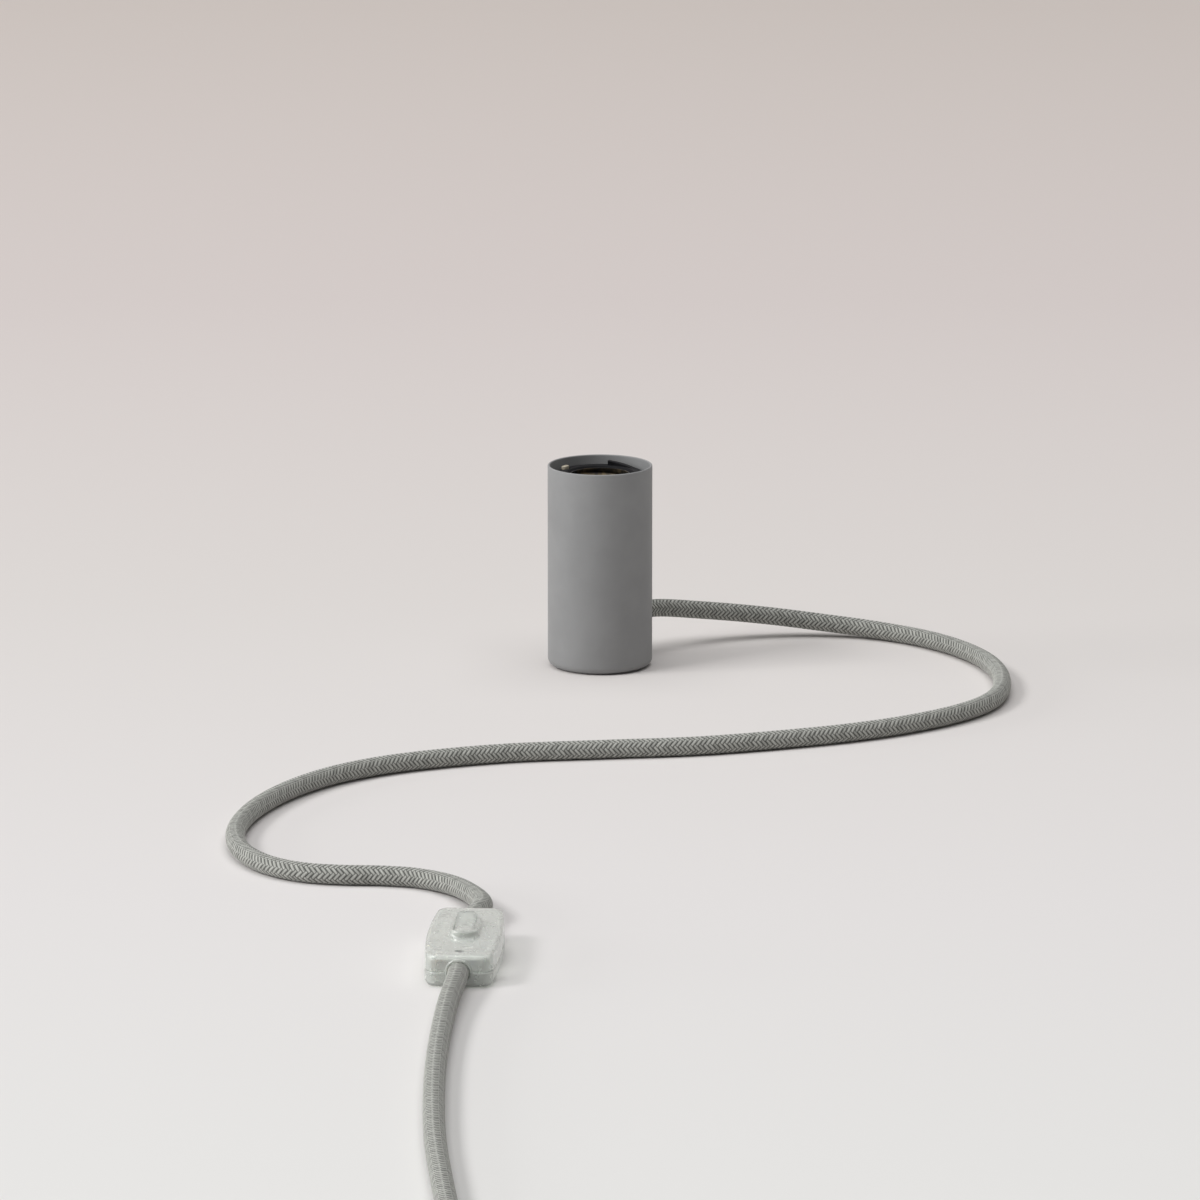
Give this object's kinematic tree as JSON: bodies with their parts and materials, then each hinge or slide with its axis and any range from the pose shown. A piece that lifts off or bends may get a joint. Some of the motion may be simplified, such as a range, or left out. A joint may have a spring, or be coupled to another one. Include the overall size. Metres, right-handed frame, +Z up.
{
  "type": "plug-in lamp cord",
  "caption": "Standing E27 lamp holder in a matt metal cup, with a braided textile cord, a clear inline rocker switch and a flat plug.",
  "frame": {"origin": "the middle of the cup's foot, on the surface that the cup stands on", "axes": "+Z up along the cup's axis, +X to the right in the picture's view, +Y away from the viewer"},
  "size_m": [0.3292, 1.027, 0.09],
  "materials": {
    "powder_coat": "matt powder coat",
    "foot_pad": "foamed, dull",
    "black_plastic": "moulded, satin",
    "black_phenolic": "moulded, half gloss",
    "cream_plastic": "moulded, satin",
    "clear_plastic": "clear with a slight grey green tint",
    "plain_steel": "zinc plated",
    "nickel": "nickel plated",
    "brass": "plain rolled",
    "textile": "round braid of grey green yarn",
    "tie_fabric": "black hook and loop band",
    "line_insulation": "smooth",
    "neutral_insulation": "smooth"
  },
  "bodies": {
    "base": {"holder_cup": "powder_coat", "foot_pad": "foot_pad", "cord_bush": "black_plastic", "holder_bracket": "plain_steel", "bracket_screw": "plain_steel", "bracket_nut": "plain_steel", "cord_anchor": "black_plastic", "cord_saddle": "black_plastic", "saddle_screw_left": "plain_steel", "saddle_screw_right": "plain_steel", "inner_cord": "textile", "line_core": "line_insulation", "neutral_core": "neutral_insulation", "holder_base": "black_phenolic", "line_terminal": "brass", "neutral_terminal": "brass", "line_terminal_screw": "brass", "neutral_terminal_screw": "brass", "holder_screw_left": "plain_steel", "holder_screw_right": "plain_steel", "centre_contact": "brass", "thread_shell": "brass", "holder_skirt": "black_phenolic", "locking_key": "cream_plastic", "lamp_side_cord": "textile", "plug_side_cord": "textile", "plug_tail_cord": "textile", "cord_coil": "textile", "coil_tie": "tie_fabric", "switch_top_shell": "clear_plastic", "switch_bottom_shell": "clear_plastic", "rocker_pin": "plain_steel", "switch_terminal_front": "brass", "switch_terminal_rear": "brass", "switch_terminal_screw_front": "plain_steel", "switch_terminal_screw_rear": "plain_steel", "cord_clamp_front": "plain_steel", "cord_clamp_rear": "plain_steel", "clamp_screw_front": "plain_steel", "clamp_screw_rear": "plain_steel", "shell_screw_front": "plain_steel", "shell_screw_rear": "plain_steel", "cord_end_front": "textile", "cord_end_rear": "textile", "switch_line_core_front": "line_insulation", "switch_line_core_rear": "line_insulation", "switch_neutral_core": "neutral_insulation", "plug_body": "black_plastic", "plug_pin_front": "nickel", "plug_pin_rear": "nickel", "pin_sleeve_front": "black_plastic", "pin_sleeve_rear": "black_plastic", "plug_strain_relief": "black_plastic"},
    "rocker": {"switch_rocker": "clear_plastic"},
    "lever": {"contact_lever": "brass"}
  },
  "joints": [
    {"name": "rocker_tilt", "type": "hinge", "parent": "base", "child": "rocker", "pos_m": [-0.05112, -0.4993, 0.0096], "axis": [0.9986, -0.0523, 0], "range_deg": [-12, 0]},
    {"name": "lever_tilt", "type": "hinge", "parent": "base", "child": "lever", "pos_m": [-0.05112, -0.4993, 0.0042], "axis": [0.9986, -0.0523, 0], "range_deg": [0, 6]}
  ],
  "couplings": [
    {"joint": "lever_tilt", "follows": "rocker_tilt", "ratio": -0.5}
  ]
}
